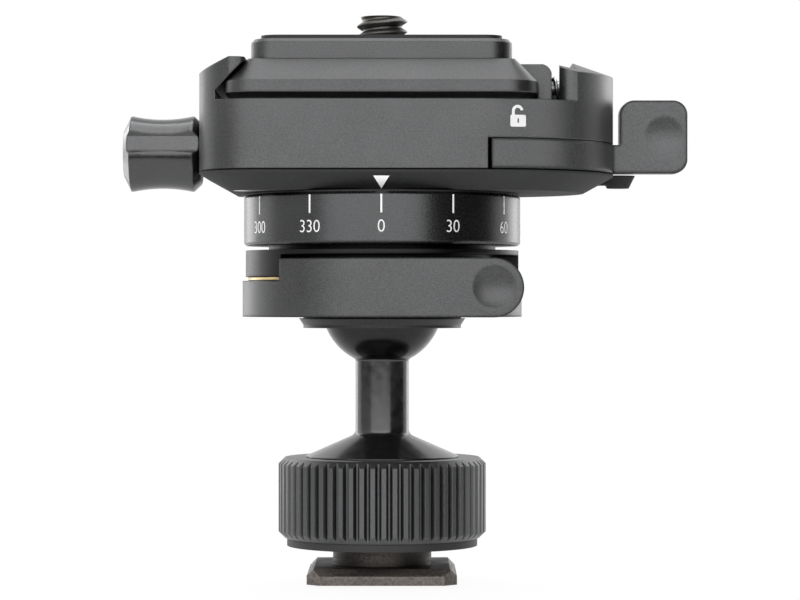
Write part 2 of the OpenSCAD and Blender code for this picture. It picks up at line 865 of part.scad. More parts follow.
module movable_jaw() {
    rise = dove_z - floor_z;
    tip_x = jaw_face_x - (slide_jaw_h - rise);
    color("#1a1a1c")
        difference() {
            translate([0, slide_jaw_l / 2, floor_z])
                rotate([90, 0, 0])
                    linear_extrude(slide_jaw_l)
                        difference() {
                            polygon([
                                [jaw_face_x, stack_gap], [jaw_back_x, stack_gap],
                                [jaw_back_x, slide_jaw_h], [tip_x, slide_jaw_h],
                                [jaw_face_x, rise]]);
                            translate([jaw_back_x - jaw_end_r, slide_jaw_h - jaw_end_r])
                                difference() {
                                    square(jaw_end_r + over);
                                    circle(r = jaw_end_r + jaw_end_ease);
                                }
                        }
            for (s = [-1, 1])
                translate([0, s * guide_y, guide_z])
                    rotate([0, 90, 0])
                        cylinder(h = 2 * plate_w, r = guide_r + fit);
        }
}

module jaw_follower_pin() {
    color("#8a8a8d")
        translate([follower_x, 0, lever_low_z + 1.4])
            cylinder(h = floor_z + stack_gap - lever_low_z - 1.4, r = follower_r);
}

module jaw_guide_pins() {
    pin_start = jaw_face_x + 0.4;
    color("#8a8a8d")
        for (s = [-1, 1])
            translate([pin_start, s * guide_y, guide_z])
                rotate([0, 90, 0])
                    cylinder(h = spring_seat_x + guide_seat - pin_start, r = guide_r);
}

// Points of a helical wire along X, as rings of a closed tube
function coil_ring(t, length, sides) =
    let (
        a = 360 * spring_turns * t,
        x = length * t,
        out = [0, cos(a), sin(a)])
    [for (k = [0 : sides - 1])
        [x, 0, 0] + out * (spring_r + spring_wire / 2 * cos(360 * k / sides))
            + [spring_wire / 2 * sin(360 * k / sides), 0, 0]];

module coil(length) {
    sides = 6;
    steps = 8 * spring_turns;
    points = [for (i = [0 : steps]) each coil_ring(i / steps, length, sides)];
    skin = [for (i = [0 : steps - 1], k = [0 : sides - 1])
        let (a = i * sides + k, b = i * sides + (k + 1) % sides)
        each [[a, b, b + sides], [a, b + sides, a + sides]]];
    first_cap = [for (k = [1 : sides - 2]) [0, k + 1, k]];
    last = steps * sides;
    last_cap = [for (k = [1 : sides - 2]) [last, last + k, last + k + 1]];
    polyhedron(points, concat(skin, first_cap, last_cap));
}

module jaw_springs() {
    start_x = jaw_back_x + spring_wire / 2 + fit;
    length = spring_seat_x - spring_wire / 2 - fit - start_x;
    echo(least_gap_between_spring_turns = length / spring_turns - spring_wire);
    color("#c4c4c8")
        for (s = [-1, 1])
            translate([start_x, s * guide_y, guide_z])
                coil(length);
}

// Outline of the spiral groove that drives the jaw as the lever turns
function spiral_point(t, off) =
    let (rho = follower_rho + jaw_travel * t, a = -release_turn * t)
    (rho + off) * [cos(a), sin(a)];

module spiral_groove(half) {
    steps = 16;
    polygon(concat(
        [for (i = [0 : steps]) spiral_point(i / steps, half)],
        [for (i = [steps : -1 : 0]) spiral_point(i / steps, -half)]));
    for (t = [0, 1])
        translate(spiral_point(t, 0))
            circle(r = half);
}

module quick_release_lever() {
    groove_floor = 1.2;
    color("#242426")
        translate([clamp_end_x, 0, 0])
            difference() {
                union() {
                    pie(clamp_half_d, lever_start, lever_end, lever_low_z, lever_h);
                    translate([0, 0, lever_low_z])
                        cylinder(h = lever_h, r = hub_r);
                    thumb_paddle();
                }
                translate([0, 0, clamp_z])
                    cylinder(h = slot_h, r = pivot_r + fit);
                translate([0, 0, lever_low_z + groove_floor])
                    linear_extrude(slot_h)
                        spiral_groove(follower_r + 1.5 * stack_gap);
            }
}

module thumb_paddle() {
    start = clamp_half_d + paddle_gap;
    scoop_r = 8;
    scoop_depth = 0.4;
    root = 2;
    difference() {
        union() {
            translate([start, paddle_t / 2, lever_low_z])
                rotate([90, 0, 0])
                    linear_extrude(paddle_t)
                        rounded_outline(paddle_w, paddle_h, paddle_corner);
            translate([clamp_half_d - root, -paddle_t / 2, lever_low_z])
                cube([paddle_gap + root + paddle_corner, paddle_t, lever_h]);
        }
        translate([
            start + paddle_w * 0.66, scoop_depth - scoop_r - paddle_t / 2,
            lever_low_z + paddle_h / 2])
            sphere(r = scoop_r);
    }
}

// A rectangle from the origin with four round corners
module rounded_outline(w, h, r) {
    translate([r, 0])
        square([w - 2 * r, h]);
    translate([0, r])
        square([w, h - 2 * r]);
    for (x = [r, w - r], y = [r, h - r])
        translate([x, y])
            circle(r = r);
}

module lever_pivot_pin() {
    color("#8a8a8d")
        translate([clamp_end_x, 0, base_z])
            cylinder(h = base_t + slot_h + pivot_rise, r = pivot_r);
}

module pan_lock_knob() {
    flutes = [-17, -137, 103];
    flute_half = 0.95;
    nose = 1.8;
    rim = 0.3;
    waist = 0.4;
    waist_half = knob_l / 2 - knob_chamfer - rim;
    waist_r = (pow(waist_half, 2) + pow(waist, 2)) / (2 * waist);
    floor_y = flute_depth - knob_r;
    edge_y = -knob_r - over;
    edge_half = flute_half + flute_depth + over;
    color("#2d2d2f")
        translate([knob_x, 0, knob_z])
            difference() {
                rotate([90, 0, 90])
                    rotate_extrude()
                        difference() {
                            polygon([
                                [0, 0], [knob_r - nose, 0], [knob_r, knob_chamfer],
                                [knob_r, knob_l - knob_chamfer], [knob_r - knob_chamfer, knob_l],
                                [0, knob_l]]);
                            translate([knob_r - waist + waist_r, knob_l / 2])
                                circle(r = waist_r);
                        }
                for (a = flutes)
                    translate([-over, 0, 0])
                        rotate([a, 0, 0])
                            rotate([90, 0, 90])
                                linear_extrude(knob_l + 2 * over)
                                    polygon([
                                        [floor_y, -flute_half], [floor_y, flute_half],
                                        [edge_y, edge_half], [edge_y, -edge_half]]);
                translate([knob_l - shaft_seat, 0, 0])
                    rotate([0, 90, 0])
                        cylinder(h = shaft_seat + over, r = lock_shaft_r + fit);
            }
}

module pan_lock_shaft() {
    start = knob_x + knob_l - shaft_seat + fit;
    color("#8a8a8d")
        translate([start, 0, knob_z])
            rotate([0, 90, 0])
                cylinder(h = shoe_tip_x - shoe_l - start, r = lock_shaft_r);
}

module pan_brake_shoe() {
    color("#d8d2c0")
        translate([shoe_tip_x - shoe_l, 0, knob_z])
            rotate([0, 90, 0])
                cylinder(h = shoe_l, r = lock_shaft_r);
}

module camera_plate() {
    corner = 4;
    block_corner = 3;
    block_chamfer = 0.45;
    head_pocket = 2.6;
    head_room = 0.6;
    clip_room = 0.3;
    color("#2e2e30")
        difference() {
            union() {
                plate_slab(plate_w, plate_d, corner, plate_z, plate_band_h);
                plate_slab(plate_w, plate_d, corner, dove_z, dovetail, 0, dovetail);
                plate_slab(block_w, block_d, block_corner, dove_top_z, block_h - block_chamfer);
                plate_slab(
                    block_w, block_d, block_corner, pad_z - block_chamfer, block_chamfer,
                    0, block_chamfer);
            }
            translate([0, 0, plate_z - over])
                cylinder(h = pad_z - plate_z + 2 * over, r = screw_r + fit);
            translate([0, 0, plate_z - over])
                cylinder(h = head_pocket + over, r = camera_head_r + head_room);
            translate([0, 0, pad_z - clip_pocket])
                cylinder(h = clip_pocket + over, r = clip_r + clip_room);
        }
}

module plate_pad() {
    pad_inset = 1.2;
    pad_corner = 2.2;
    pad_hole_r = 4;
    color("#171719")
        difference() {
            plate_slab(
                block_w - 2 * pad_inset, block_d - 2 * pad_inset, pad_corner, pad_z, pad_t);
            translate([0, 0, pad_z - over])
                cylinder(h = pad_t + 2 * over, r = pad_hole_r);
        }
}

module camera_screw() {
    top = pad_z + pad_t + screw_out;
    head_z = plate_z + 0.3;
    head_t = 2.2;
    head_slot = 1.2;
    lead = 0.5;
    color("#7d7d80")
        difference() {
            union() {
                translate([0, 0, head_z])
                    cylinder(h = head_t, r = camera_head_r);
                translate([0, 0, head_z])
                    cylinder(h = top - head_z - lead, r = screw_r);
                translate([0, 0, top - lead])
                    cylinder(h = lead, r1 = screw_r, r2 = screw_r - lead);
            }
            ring(screw_r - clip_depth - fit, screw_r + over, clip_z - fit, clip_t + 2 * fit);
            translate([-camera_head_r - over, -head_slot / 2, head_z - over])
                cube([2 * camera_head_r + 2 * over, head_slot, head_slot + over]);
        }
}

module screw_clip() {
    mouth = 2.4;
    color("#b9b9bd")
        difference() {
            ring(screw_r - clip_depth, clip_r, clip_z, clip_t);
            translate([0, -mouth / 2, clip_z - over])
                cube([clip_r + over, mouth, clip_t + 2 * over]);
        }
}

shoe_foot();
shoe_pressure_ring();
shoe_lock_wheel();
ball_stem();
ball();
ball_cup();
cup_spring();
socket_ring();
lock_lever_ring();
brass_thrust_washer();
ball_housing();
scale_ring();
pan_spindle();
pan_glide_washer();
pan_retainer_washer();
pan_retainer_screw();
pan_bush();
base_plate();
base_screws();
clamp_body();
movable_jaw();
jaw_follower_pin();
jaw_guide_pins();
jaw_springs();
quick_release_lever();
lever_pivot_pin();
pan_lock_knob();
pan_lock_shaft();
pan_brake_shoe();
camera_plate();
plate_pad();
camera_screw();
screw_clip();
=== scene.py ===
"""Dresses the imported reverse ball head: finishes, printed marks, turned and wound pieces, studio."""

import json
import math

import bmesh
import bpy
from bpy.props import FloatProperty, FloatVectorProperty, IntProperty, PointerProperty
from bpy.types import Operator, Panel, PropertyGroup
from mathutils import Matrix, Vector


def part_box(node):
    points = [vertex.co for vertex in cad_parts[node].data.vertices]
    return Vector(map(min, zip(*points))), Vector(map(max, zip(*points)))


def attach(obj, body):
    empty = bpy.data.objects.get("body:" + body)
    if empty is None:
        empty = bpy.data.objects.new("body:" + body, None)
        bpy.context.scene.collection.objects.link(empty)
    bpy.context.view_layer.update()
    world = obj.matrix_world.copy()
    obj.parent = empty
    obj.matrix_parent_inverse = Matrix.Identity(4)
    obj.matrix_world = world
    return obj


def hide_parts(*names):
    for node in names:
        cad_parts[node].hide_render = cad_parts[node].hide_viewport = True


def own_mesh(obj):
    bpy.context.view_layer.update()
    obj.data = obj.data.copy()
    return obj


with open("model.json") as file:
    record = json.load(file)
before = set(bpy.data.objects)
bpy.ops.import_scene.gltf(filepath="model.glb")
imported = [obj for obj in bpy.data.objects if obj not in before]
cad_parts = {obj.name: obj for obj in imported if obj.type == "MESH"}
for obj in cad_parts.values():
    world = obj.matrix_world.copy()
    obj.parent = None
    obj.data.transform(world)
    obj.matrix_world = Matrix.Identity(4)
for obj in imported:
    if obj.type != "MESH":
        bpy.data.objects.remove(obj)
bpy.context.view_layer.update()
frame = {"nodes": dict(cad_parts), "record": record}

bl_info = {
    "name": "Reverse Ball Head",
    "version": (1, 0, 0),
    "blender": (4, 5, 0),
    "location": "3D View > Sidebar > Ball Head",
    "description": "Finishes, printed marks and studio for the packed reverse ball head",
    "category": "Object",
}

MM = 0.001

# Steps round a turned piece and round the screw's head, and the angle from which an edge shows as sharp
ROUND_STEPS = 96
HEAD_STEPS = 64
SHARP_ANGLE = math.radians(25)

# Steps of the stem's fillets: at the flare, at the ball and along the ball's skin
FLARE_STEPS = 10
FILLET_STEPS = 8
SEAT_STEPS = 4

# The thread's section: a share of its depth over the root and a share of the pitch along the axis
THREAD_SECTION = ((1, 0.06), (1, -0.06), (0, -0.42), (0, -0.58), (1, -0.94))

# The padlock: half its keyhole as shares of the body, and the rest as shares of the width
KEYHOLE = (0.05, 0.19)
PADLOCK_CORNER = 0.1
SHACKLE_BAR = 0.18
SHACKLE_BEND = 0.28
SHACKLE_PLACE = (-0.035, 0.232)
SHACKLE_SINK = 0.02
SHACKLE_SWING = math.radians(172)
SHACKLE_STEPS = 16

# Finishes: metallic of a dyed metal, the speckle's share of a tone, and the colour's share in a narrow gap,
# where shade is painted into the colour
DYED_METALLIC = 0.9
SPECK_SHARE = 0.75
PAINTED_GAP_SHADE = 0.05

# Heights of a grain and of turned rings, and how the noise of the rings is drawn out
SKIN_RELIEF = 0.03 * MM
RING_RELIEF = 0.02 * MM
RING_STRETCH = (0.04, 0.04, 1.0)

# Where a noise, the cosine at an edge and the openness of a gap begin and end to count
NOISE_SPAN = (0.3, 0.7)
EDGE_SPAN = (1.0, 0.8)
GAP_SPAN = (0.25, 0.65)
EDGE_SAMPLES = 6
GAP_SAMPLES = 8

# Studio: the camera's sensor and clip range, the floor, and the Y of a view ray from front to backdrop
SENSOR_WIDTH = 36
CLIP_RANGE = (0.01, 20)
FLOOR_DROP = 0.4 * MM
FLOOR_WHITE = 0.9
FLOOR_ROUGH = 0.9
SHADOW_SPAN = (20 * MM, 60 * MM)
BACKDROP_SPAN = (0.2, 0.55)

# Lamps: name, brightness setting, place, the point it faces, and size, in metres
LAMPS = (
    ("softbox", "key_glow", (-0.073, -0.595, 0.3), (0, 0, 0.3), (1.1, 0.6)),
    ("left_lamp", "side_glow", (-0.45, 0.54, 0.25), (0, 0, 0.04), (0.3, 0.6)),
    ("right_lamp", "side_glow", (0.45, 0.54, 0.25), (0, 0, 0.04), (0.3, 0.6)),
    ("top_lamp", "top_glow", (0, 0.02, 0.5), (0, 0, 0.04), (0.4, 0.4)),
    ("left_fill", "fill_glow", (-0.6, -0.06, 0.3), (0, 0, 0.3), (0.8, 0.6)),
    ("end_lamp", "end_glow", (0.515, -0.327, 0.3), (0, 0, 0.3), (0.39, 0.6)),
    ("index_lamp", "index_glow", (0, -0.5, 0.02), (0, 0, 0.05), (0.6, 0.1)),
)
# The pieces that a lamp lights, where it doesn't light all
LIT_ALONE = {
    "end_lamp": ("clamp_body", "movable_jaw", "quick_release_lever"),
    "index_lamp": ("index_mark",),
}


def top_of(node):
    """Height of a node's top, in metres."""
    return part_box(node)[1].z


def radius_of(node):
    """Half a round node's width across Y, in metres."""
    low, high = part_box(node)
    return (high.y - low.y) / 2


def length(name, description, default, precision=5):
    """A length in the scene's units."""
    return FloatProperty(name=name, description=description, default=default, unit="LENGTH",
                         precision=precision)


def amount(name, description, default, most=50):
    """A brightness or a share, from zero up."""
    return FloatProperty(name=name, description=description, default=default, min=0, max=most)


def tint(name, description, default):
    """A colour."""
    return FloatVectorProperty(name=name, description=description, default=default, size=3, subtype="COLOR",
                               min=0, max=1)


class BALLHEAD_PG_colours(PropertyGroup):
    """Colours of the finishes."""

    anodised_black: tint(
        "Anodised black", "Blasted black of the clamp and the lever", (0.087, 0.088, 0.0895))
    scale_black: tint("Scale ring", "Satin black of the degree ring", (0.068, 0.069, 0.0705))
    ball_black: tint("Ball", "Polished black of the ball and its stem", (0.076, 0.076, 0.078))
    wheel_grey: tint("Lock wheel", "Satin grey of the knurled wheel", (0.092, 0.093, 0.095))
    foot_steel: tint("Shoe foot", "Dark oxidised steel of the foot", (0.165, 0.148, 0.135))
    brass_washer: tint("Brass", "Brass of the thrust washer", (0.86, 0.67, 0.33))
    plain_steel: tint("Steel", "Plain turned steel of pins and springs", (0.5, 0.5, 0.51))
    screw_black: tint("Camera screw", "Blackened steel of the camera screw", (0.11, 0.105, 0.098))
    nylon_cup: tint("Nylon", "Nylon of the ball's cup and the brake shoe", (0.72, 0.69, 0.6))
    glide_black: tint(
        "Glide washer", "Black plastic of the washer under the base plate", (0.012, 0.012, 0.013))
    pad_rubber: tint("Pad", "Rubber of the plate's pad and the pressure ring", (0.016, 0.016, 0.017))
    print_white: tint("Print", "White of the printed marks", (0.85, 0.85, 0.85))


class BALLHEAD_PG_marks(PropertyGroup):
    """Sizes of the printed marks."""

    step: IntProperty(
        name="Degrees per mark", description="Angle between two marks of the degree ring",
        default=30, min=10, max=90)
    tick_width: length("Tick width", "Width of a degree mark", 0.23 * MM)
    tick_length: length("Tick length", "Length of a degree mark below the ring's top edge", 2.25 * MM)
    numeral_height: length("Numeral height", "Height of the degree numbers", 1.5 * MM)
    numeral_drop: length(
        "Numeral drop", "Distance from the ring's top to the middle of the numbers", 4.13 * MM)
    numeral_thinning: FloatProperty(
        name="Numeral thinning",
        description="How far the strokes are drawn in, as a share of the letter size",
        default=0.008, min=0, max=0.03)
    numeral_squeeze: FloatProperty(
        name="Numeral squeeze", description="Width of the numbers as a share of the font's own width",
        default=0.92, min=0.5, max=1.5)
    tick_margin: length("Tick margin", "Distance from the ring's top edge to a degree mark", 0.3 * MM)
    bend_step: length("Bend step", "Widest strip of a print that is laid on a curve as a flat", 0.2 * MM)
    film: length("Print film", "Height of the print over the surface", 0.012 * MM, precision=6)
    index_width: length("Index width", "Width of the index triangle", 1.95 * MM)
    index_foot: amount(
        "Index foot", "Where the triangle's tip is, as a share of the bevel from below", 0.07, most=1)
    index_head: amount(
        "Index head", "Where the triangle's wide side is, as a share of the bevel", 0.775, most=1)
    bevel_run: length("Bevel run", "How far the base plate's bevel goes in from its front", 3.7 * MM)
    lip_height: length("Lip height", "Height of the upright lip above the base plate's bevel", 0.35 * MM)
    padlock_width: length("Padlock width", "Width of the printed padlock", 1.98 * MM)
    padlock_height: length("Padlock height", "Height of the padlock's body", 1.44 * MM)
    padlock_across: length(
        "Padlock place", "Distance of the padlock to the right of the round end's middle", 5.39 * MM)
    padlock_rise: length(
        "Padlock rise",
        "Distance from the clamp's underside up to the middle of the padlock's body", 5.8 * MM)


class BALLHEAD_PG_thread(PropertyGroup):
    """Sizes of the camera screw's thread."""

    pitch: length("Pitch", "Rise of the thread for each turn", 1.27 * MM)
    depth: length("Depth", "Depth of the thread", 0.7 * MM)
    steps: IntProperty(
        name="Steps per turn", description="Steps of the thread for each turn",
        default=40, min=12, max=96)
    radius: length("Radius", "Radius over the thread's crests", 3.175 * MM)
    lead_in: length("Lead-in", "Height of the chamfer at the thread's end", 0.5 * MM)
    head_height: length("Head height", "Height of the screw's round head", 2.2 * MM)
    head_round: length("Head rounding", "Radius of the head's rims", 0.3 * MM)
    head_overlap: length("Head overlap", "How far the thread goes into the head", 0.1 * MM)


class BALLHEAD_PG_stem(PropertyGroup):
    """Sizes of the turned stem under the ball."""

    radius: length("Stem radius", "Radius of the slim neck", 3.36 * MM)
    stud_radius: length(
        "Stud radius", "Radius of the stud in the wheel and of the spigot in the ball", 2.5 * MM)
    flare_height: length("Flare height", "Height of the flared base", 2.9 * MM)
    flare_lip: length("Flare lip", "Height of the upright lip round the flared base", 0.15 * MM)
    ball_fillet: length("Ball fillet", "Fillet where the neck meets the ball", 0.35 * MM)
    flare_fillet: length("Flare fillet", "Fillet where the neck meets the flared base", 0.9 * MM)
    play: length("Play", "Room between the stem and the ball", 0.02 * MM, precision=6)


class BALLHEAD_PG_springs(PropertyGroup):
    """Sizes of the two springs behind the movable jaw."""

    wire: length("Wire", "Thickness of the spring wire", 0.4 * MM)
    radius: length("Coil radius", "Radius of a coil at the middle of its wire", 1.3 * MM)
    turns: IntProperty(
        name="Turns", description="Number of coils of a spring", default=4, min=2, max=12)
    turn_steps: IntProperty(
        name="Steps per turn", description="Steps of the wire for each coil", default=24, min=8, max=64)
    wire_sides: IntProperty(
        name="Wire sides", description="Sides of the round wire", default=10, min=5, max=32)
    travel: length("Jaw travel", "How far the opened jaw presses the springs", 2.5 * MM)


class BALLHEAD_PG_studio(PropertyGroup):
    """The camera's place and lens, the lamps' strengths and the floor."""

    camera_place: FloatVectorProperty(
        name="Camera", description="Place of the camera, which looks along the Y axis",
        default=(0.00225, -0.3725, 0.0352), size=3, subtype="TRANSLATION", unit="LENGTH", precision=5)
    camera_lens: FloatProperty(
        name="Lens", description="Focal length on a 36 mm sensor", default=132.75, min=20, max=400)
    key_glow: amount("Softbox", "Brightness of the large upright softbox in front, to the left", 2.4)
    top_glow: amount("Top lamp", "Brightness of the lamp above", 2.6)
    side_glow: amount("Rear lamps", "Brightness of the tall lamps at the rear, left and right", 2.0)
    fill_glow: amount("Left fill", "Brightness of the wide, dim lamp at the left", 0.8)
    end_glow: amount("End lamp", "Brightness of the lamp at the right, which lights the clamp alone", 2.2)
    index_glow: amount(
        "Index lamp", "Brightness of the low lamp in front, which lights the index mark alone", 14.0)
    rear_light: amount("Rear light", "Brightness of the white room behind the object", 2.2, most=5)
    front_light: amount("Front light", "Brightness of the dark room in front of the object", 0.01, most=5)
    floor_radius: length(
        "Floor", "Radius of the white floor; the white surround goes on from its edge", 0.2, precision=3)
    shadow: amount("Shadow", "How much of the contact shadow shows on the floor", 0.06, most=1)


def settings(name):
    """The property group of this add-on with that name."""
    return getattr(bpy.context.scene, name)


def new_group(name, inputs, outputs):
    """A shader node group with its sockets, and its input and output nodes."""
    group = bpy.data.node_groups.new(name, "ShaderNodeTree")
    for label, default in inputs.items():
        socket = group.interface.new_socket(label, in_out="INPUT", socket_type="NodeSocketFloat")
        socket.default_value = default
    for label, kind in outputs.items():
        group.interface.new_socket(label, in_out="OUTPUT", socket_type=kind)
    return group, group.nodes.new("NodeGroupInput"), group.nodes.new("NodeGroupOutput")


def link(tree, start, end):
    """Joins an output socket to an input socket."""
    tree.links.new(start, end)


def math_node(tree, operation, first, second=None):
    """A Math node whose inputs are sockets or numbers."""
    node = tree.nodes.new("ShaderNodeMath")
    node.operation = operation
    for slot, value in enumerate((first, second)):
        if isinstance(value, (int, float)):
            node.inputs[slot].default_value = value
        elif value is not None:
            link(tree, value, node.inputs[slot])
    return node.outputs[0]


def mix_node(tree, factor, first, second):
    """A colour Mix node; colours are sockets or triples."""
    node = tree.nodes.new("ShaderNodeMix")
    node.data_type = "RGBA"
    link(tree, factor, node.inputs[0])
    for slot, value in ((6, first), (7, second)):
        if isinstance(value, bpy.types.NodeSocket):
            link(tree, value, node.inputs[slot])
        else:
            node.inputs[slot].default_value = (*value, 1)
    return node.outputs[2]


def range_node(tree, value, low, high, to_low=0.0, to_high=1.0):
    """A Map Range node from low and high to two new ends."""
    node = tree.nodes.new("ShaderNodeMapRange")
    link(tree, value, node.inputs["Value"])
    for name, number in (("From Min", low), ("From Max", high), ("To Min", to_low), ("To Max", to_high)):
        node.inputs[name].default_value = number
    return node.outputs["Result"]


def noise_node(tree, vector, scale, detail=2.0, roughness=0.5):
    """A Noise node on the given coordinates."""
    node = tree.nodes.new("ShaderNodeTexNoise")
    link(tree, vector, node.inputs["Vector"])
    node.inputs["Detail"].default_value = detail
    node.inputs["Roughness"].default_value = roughness
    if isinstance(scale, bpy.types.NodeSocket):
        link(tree, scale, node.inputs["Scale"])
    else:
        node.inputs["Scale"].default_value = scale
    return node.outputs["Fac"]


def grain_group():
    """Fine grain of a blasted or moulded skin: a tone and a height."""
    name = "Skin grain"
    if name in bpy.data.node_groups:
        return bpy.data.node_groups[name]
    group, source, sink = new_group(name, {"Grain": 6000.0, "Cloud": 180.0},
                                    {"Tone": "NodeSocketFloat", "Height": "NodeSocketFloat"})
    place = group.nodes.new("ShaderNodeTexCoord").outputs["Object"]
    fine = noise_node(group, place, source.outputs["Grain"], roughness=0.6)
    cloud = noise_node(group, place, source.outputs["Cloud"], detail=3.0)
    speck = range_node(group, fine, *NOISE_SPAN)
    soft = range_node(group, cloud, *NOISE_SPAN)
    tone = math_node(group, "ADD", math_node(group, "MULTIPLY", speck, SPECK_SHARE),
                     math_node(group, "MULTIPLY", soft, 1 - SPECK_SHARE))
    link(group, tone, sink.inputs["Tone"])
    link(group, fine, sink.inputs["Height"])
    return group


def edge_group():
    """Broken edges: a normal that runs round them and a mask where they are."""
    name = "Broken edge"
    if name in bpy.data.node_groups:
        return bpy.data.node_groups[name]
    group, source, sink = new_group(name, {"Radius": 0.2 * MM},
                                    {"Edge": "NodeSocketFloat", "Normal": "NodeSocketVector"})
    bevel = group.nodes.new("ShaderNodeBevel")
    bevel.samples = EDGE_SAMPLES
    link(group, source.outputs["Radius"], bevel.inputs["Radius"])
    geometry = group.nodes.new("ShaderNodeNewGeometry")
    dot = group.nodes.new("ShaderNodeVectorMath")
    dot.operation = "DOT_PRODUCT"
    link(group, bevel.outputs["Normal"], dot.inputs[0])
    link(group, geometry.outputs["Normal"], dot.inputs[1])
    edge = range_node(group, dot.outputs["Value"], *EDGE_SPAN)
    link(group, edge, sink.inputs["Edge"])
    link(group, bevel.outputs["Normal"], sink.inputs["Normal"])
    return group


def crevice_group():
    """How open a spot is: one on a free face, near zero in a narrow gap; the finishes darken their colour
    by it as painted shade.
    """
    name = "Crevice"
    if name in bpy.data.node_groups:
        return bpy.data.node_groups[name]
    group, source, sink = new_group(name, {"Reach": 1.5 * MM}, {"Open": "NodeSocketFloat"})
    probe = group.nodes.new("ShaderNodeAmbientOcclusion")
    probe.samples = GAP_SAMPLES
    link(group, source.outputs["Reach"], probe.inputs["Distance"])
    link(group, range_node(group, probe.outputs["AO"], *GAP_SPAN), sink.inputs["Open"])
    return group


def place_group(tree, group, **values):
    """Puts a node group in a material, with its own values."""
    node = tree.nodes.new("ShaderNodeGroup")
    node.node_tree = group
    for name, value in values.items():
        node.inputs[name].default_value = value
    return node


def blank_material(name):
    """A material with nothing but its Principled BSDF and output."""
    material = bpy.data.materials.new(name)
    material.use_nodes = True
    tree = material.node_tree
    tree.nodes.clear()
    shader = tree.nodes.new("ShaderNodeBsdfPrincipled")
    output = tree.nodes.new("ShaderNodeOutputMaterial")
    link(tree, shader.outputs[0], output.inputs["Surface"])
    return material, tree, shader


def toned(colour, factor):
    """A colour made lighter or darker by a factor."""
    return tuple(min(1.0, part * factor) for part in colour)


def bump_node(tree, height, normal, strength, distance):
    """A Bump node over a normal."""
    node = tree.nodes.new("ShaderNodeBump")
    node.inputs["Strength"].default_value = strength
    node.inputs["Distance"].default_value = distance
    link(tree, height, node.inputs["Height"])
    link(tree, normal, node.inputs["Normal"])
    return node.outputs["Normal"]


def seam_mask(tree, height, black=0.07 * MM, clear=0.13 * MM):
    """Zero in a hairline round the piece at the given height, one elsewhere: where a line of painted shadow
    goes.
    """
    parts = tree.nodes.new("ShaderNodeSeparateXYZ")
    link(tree, tree.nodes.new("ShaderNodeTexCoord").outputs["Object"], parts.inputs[0])
    away = math_node(tree, "ABSOLUTE", math_node(tree, "SUBTRACT", parts.outputs["Z"], height))
    return range_node(tree, away, black, clear)


def two_tones(tree, tone, colour, contrast):
    """The colour, darker and lighter by the contrast as the tone goes from zero to one."""
    return mix_node(tree, tone, toned(colour, 1 - contrast), toned(colour, 1 + contrast))


def blasted(name, colour, grain=5600.0, contrast=0.3, rough=(0.3, 0.46), edge=0.3 * MM, edge_wear_and_painted_light=1.25,
            bump=0.7, seam=None, depth=1.0, reach=1.5 * MM):
    """Blasted, dyed metal: a fine speckle, soft gloss, edges toned as wear and painted light, painted shade
    in gaps and a hairline of painted shadow where parts meet.
    """
    material, tree, shader = blank_material(name)
    colour = toned(colour, depth)
    skin = place_group(tree, grain_group(), Grain=grain, Cloud=160.0)
    rim = place_group(tree, edge_group(), Radius=edge)
    gap = place_group(tree, crevice_group(), Reach=reach)
    body = two_tones(tree, skin.outputs["Tone"], colour, contrast)
    # Edges take a tone of their own: lighter by default, as wear and painted highlight; darker where the
    # factor is below one, as painted shade
    dyed = mix_node(tree, rim.outputs["Edge"], body, toned(colour, edge_wear_and_painted_light))
    free = gap.outputs["Open"]
    # Painted shadow: a dark hairline where the base plate meets the clamp body
    if seam:
        free = math_node(tree, "MULTIPLY", free, seam_mask(tree, top_of(seam)))
    # Painted shade: in narrow gaps the colour falls to a small share of itself
    link(tree, mix_node(tree, free, toned(colour, PAINTED_GAP_SHADE), dyed), shader.inputs["Base Color"])
    link(tree, range_node(tree, skin.outputs["Tone"], 0, 1, *rough), shader.inputs["Roughness"])
    link(tree, bump_node(tree, skin.outputs["Height"], rim.outputs["Normal"], bump, SKIN_RELIEF),
         shader.inputs["Normal"])
    shader.inputs["Metallic"].default_value = DYED_METALLIC
    return material


def even_skin(name, colour, grain, cloud, rough, bump, relief=SKIN_RELIEF, metallic=0.0, contrast=0.15,
              edge=0.15 * MM):
    """An even skin whose tone and gloss waver a little, with rounded edges."""
    material, tree, shader = blank_material(name)
    skin = place_group(tree, grain_group(), Grain=grain, Cloud=cloud)
    rim = place_group(tree, edge_group(), Radius=edge)
    link(tree, two_tones(tree, skin.outputs["Tone"], colour, contrast), shader.inputs["Base Color"])
    link(tree, range_node(tree, skin.outputs["Tone"], 0, 1, *rough), shader.inputs["Roughness"])
    link(tree, bump_node(tree, skin.outputs["Height"], rim.outputs["Normal"], bump, relief),
         shader.inputs["Normal"])
    shader.inputs["Metallic"].default_value = metallic
    return material


def polished(name, colour, depth=1.0):
    """Polished black metal: mirror gloss with faint wiping marks; depth scales the colour."""
    return even_skin(name, toned(colour, depth), grain=900.0, cloud=120.0, rough=(0.14, 0.26), bump=0.05,
                     relief=0.04 * MM, metallic=DYED_METALLIC)


def moulded(name, colour):
    """Moulded plastic or rubber: a soft, slightly pebbled skin."""
    return even_skin(name, colour, grain=3600.0, cloud=140.0, rough=(0.5, 0.7), bump=0.3)


